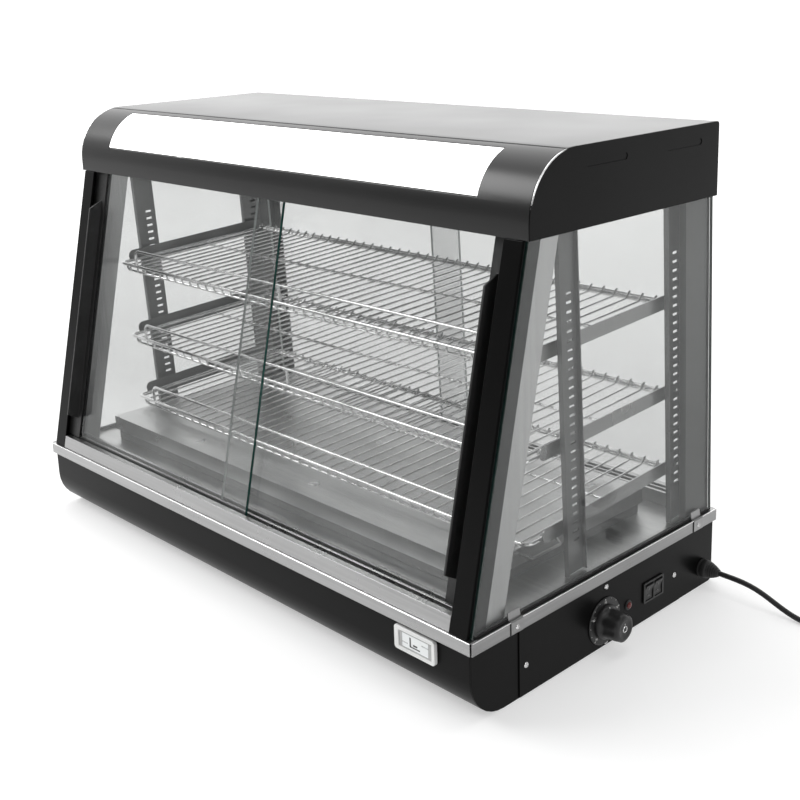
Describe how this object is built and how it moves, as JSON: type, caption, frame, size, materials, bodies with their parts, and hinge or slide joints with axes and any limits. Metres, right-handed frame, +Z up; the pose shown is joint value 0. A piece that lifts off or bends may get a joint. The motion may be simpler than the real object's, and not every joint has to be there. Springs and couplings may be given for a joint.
{
  "type": "hot food display case",
  "caption": "Countertop hot food display case: heated base with side controls, sloping sliding glass front, wire shelves on slotted uprights and a lit canopy, with a coiled mains lead.",
  "frame": {"origin": "centre of the flat underside", "axes": "+X along the front from left to right, +Y from the front to the back, +Z up"},
  "size_m": [1.1684, 0.601, 0.612],
  "materials": {
    "black_paint": "black powder coat, fine orange-peel",
    "brushed_stainless": "brushed",
    "chromed_wire": "bright plated",
    "clear_glass": "clear, polished edges",
    "black_plastic": "satin",
    "white_plastic": "satin",
    "opal_diffuser": "opal, lit from behind",
    "lamp_white": "white coated lamp tube with metal caps",
    "red_lens": "clear red",
    "black_rubber": "matte"
  },
  "bodies": {
    "case": {"back_post_left": "brushed_stainless", "back_post_right": "brushed_stainless", "back_sill": "brushed_stainless", "back_top_track": "brushed_stainless", "back_upright_left": "brushed_stainless", "back_upright_right": "brushed_stainless", "base_side_left": "black_paint", "base_side_right": "black_paint", "base_wrap": "black_paint", "cable_gland": "black_rubber", "canopy_cover": "black_paint", "canopy_end_left": "black_paint", "canopy_end_right": "black_paint", "ceiling_panel": "brushed_stainless", "control_panel": "black_paint", "cord_coil": "black_rubber", "floor_pan": "brushed_stainless", "front_channel_left": "black_paint", "front_channel_right": "black_paint", "front_post_left": "brushed_stainless", "front_post_right": "brushed_stainless", "front_sill": "brushed_stainless", "front_top_track": "brushed_stainless", "front_upright_left": "brushed_stainless", "front_upright_right": "brushed_stainless", "heater_box": "brushed_stainless", "heater_cover": "brushed_stainless", "heating_element": "brushed_stainless", "lamp_panel": "opal_diffuser", "lamp_tube": "lamp_white", "pilot_lamp": "red_lens", "power_cord": "black_rubber", "power_plug": "black_rubber", "rocker_frame": "black_plastic", "shelf_arm_lower_left": "brushed_stainless", "shelf_arm_lower_right": "brushed_stainless", "shelf_arm_middle_left": "brushed_stainless", "shelf_arm_middle_right": "brushed_stainless", "shelf_arm_upper_left": "brushed_stainless", "shelf_arm_upper_right": "brushed_stainless", "side_glass_left": "clear_glass", "side_glass_right": "clear_glass", "thermometer": "white_plastic", "thermostat": "black_plastic", "trim_front": "brushed_stainless", "trim_left": "brushed_stainless", "trim_right": "brushed_stainless", "wire_shelf_lower": "chromed_wire", "wire_shelf_middle": "chromed_wire", "wire_shelf_upper": "chromed_wire"},
    "front_door_left": {"front_door_glass_left": "clear_glass", "front_door_handle_left": "black_plastic"},
    "front_door_right": {"front_door_glass_right": "clear_glass", "front_door_handle_right": "black_plastic"},
    "back_door_left": {"back_door_glass_left": "clear_glass"},
    "back_door_right": {"back_door_glass_right": "clear_glass"},
    "knob": {"thermostat_knob": "black_plastic"},
    "lamp_switch": {"rocker_lamp": "black_plastic"},
    "heat_switch": {"rocker_heat": "black_plastic"}
  },
  "joints": [
    {"name": "front_door_left_slide", "type": "slide", "parent": "case", "child": "front_door_left", "axis": [1, 0, 0], "range_m": [0, 0.36]},
    {"name": "front_door_right_slide", "type": "slide", "parent": "case", "child": "front_door_right", "axis": [1, 0, 0], "range_m": [-0.36, 0]},
    {"name": "back_door_left_slide", "type": "slide", "parent": "case", "child": "back_door_left", "axis": [1, 0, 0], "range_m": [0, 0.36]},
    {"name": "back_door_right_slide", "type": "slide", "parent": "case", "child": "back_door_right", "axis": [1, 0, 0], "range_m": [-0.36, 0]},
    {"name": "thermostat_knob_turn", "type": "hinge", "parent": "case", "child": "knob", "pos_m": [0.46, -0.004, 0.035], "axis": [1, 0, 0], "range_deg": [-270, 0]},
    {"name": "lamp_switch_rock", "type": "hinge", "parent": "case", "child": "lamp_switch", "pos_m": [0.444, 0.0865, 0.03935], "axis": [0, 1, 0], "range_deg": [-16, 0]},
    {"name": "heat_switch_rock", "type": "hinge", "parent": "case", "child": "heat_switch", "pos_m": [0.444, 0.1055, 0.03935], "axis": [0, 1, 0], "range_deg": [-16, 0]}
  ]
}
